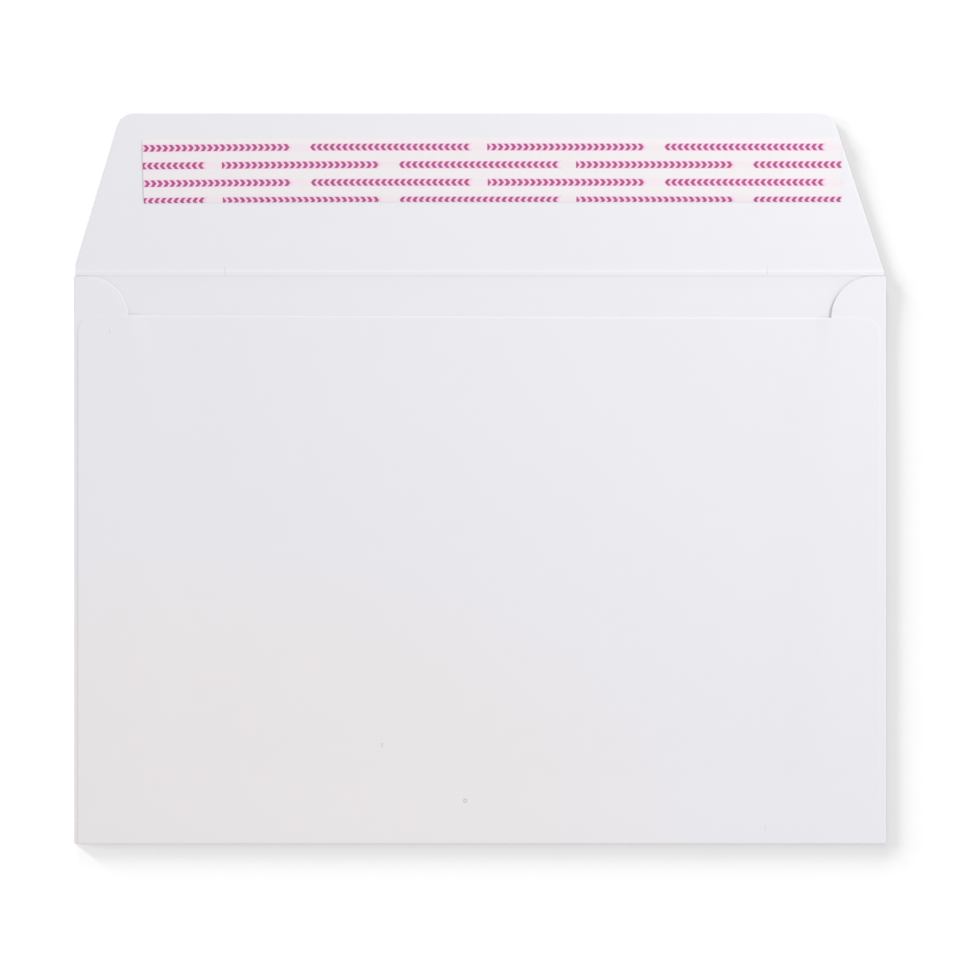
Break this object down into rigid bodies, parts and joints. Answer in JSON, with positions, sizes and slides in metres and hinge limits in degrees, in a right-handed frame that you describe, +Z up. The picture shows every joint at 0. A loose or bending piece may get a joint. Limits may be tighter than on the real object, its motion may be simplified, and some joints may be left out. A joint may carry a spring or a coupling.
{
  "type": "paper envelope",
  "caption": "White paper wallet envelope lying on its front panel, seal flap open, with a printed release liner over the adhesive strip on the flap.",
  "frame": {"origin": "middle of the front panel's outer face, which lies on the table", "axes": "+X to the right along the flap crease, +Y from the pocket towards the open flap, +Z up, from the front panel to the back panel"},
  "size_m": [0.229, 0.206, 0.0013],
  "materials": {
    "envelope_paper": "matte",
    "adhesive_film": "gloss",
    "release_paper": "satin"
  },
  "bodies": {
    "root": {"envelope_sheet": "envelope_paper", "seal_adhesive": "adhesive_film", "peel_liner": "release_paper"}
  },
  "joints": []
}
